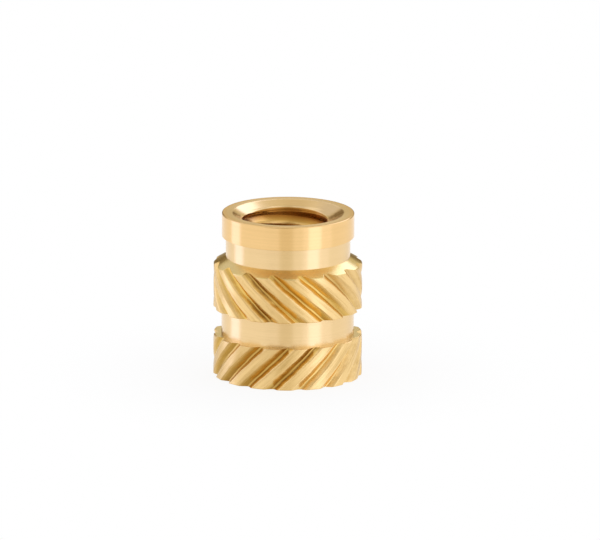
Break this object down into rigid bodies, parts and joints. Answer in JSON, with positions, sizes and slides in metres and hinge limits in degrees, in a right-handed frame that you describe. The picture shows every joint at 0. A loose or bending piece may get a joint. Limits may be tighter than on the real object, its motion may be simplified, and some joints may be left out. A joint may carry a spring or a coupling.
{
  "type": "press-in insert nut",
  "caption": "Press-in threaded insert for plastic: a turned brass bush with opposed diagonal knurled bands, a plain waist, a smooth pilot collar and a countersunk threaded bore.",
  "frame": {"origin": "centre of the lower end face, at the knurled end", "axes": "+Z along the bore, towards the smooth collar; X and Y are square to it"},
  "size_m": [0.0032, 0.0032, 0.0036],
  "materials": {
    "brass": "fine turned bright brass, with cut knurling"
  },
  "bodies": {
    "root": {"insert_nut": "brass"}
  },
  "joints": []
}
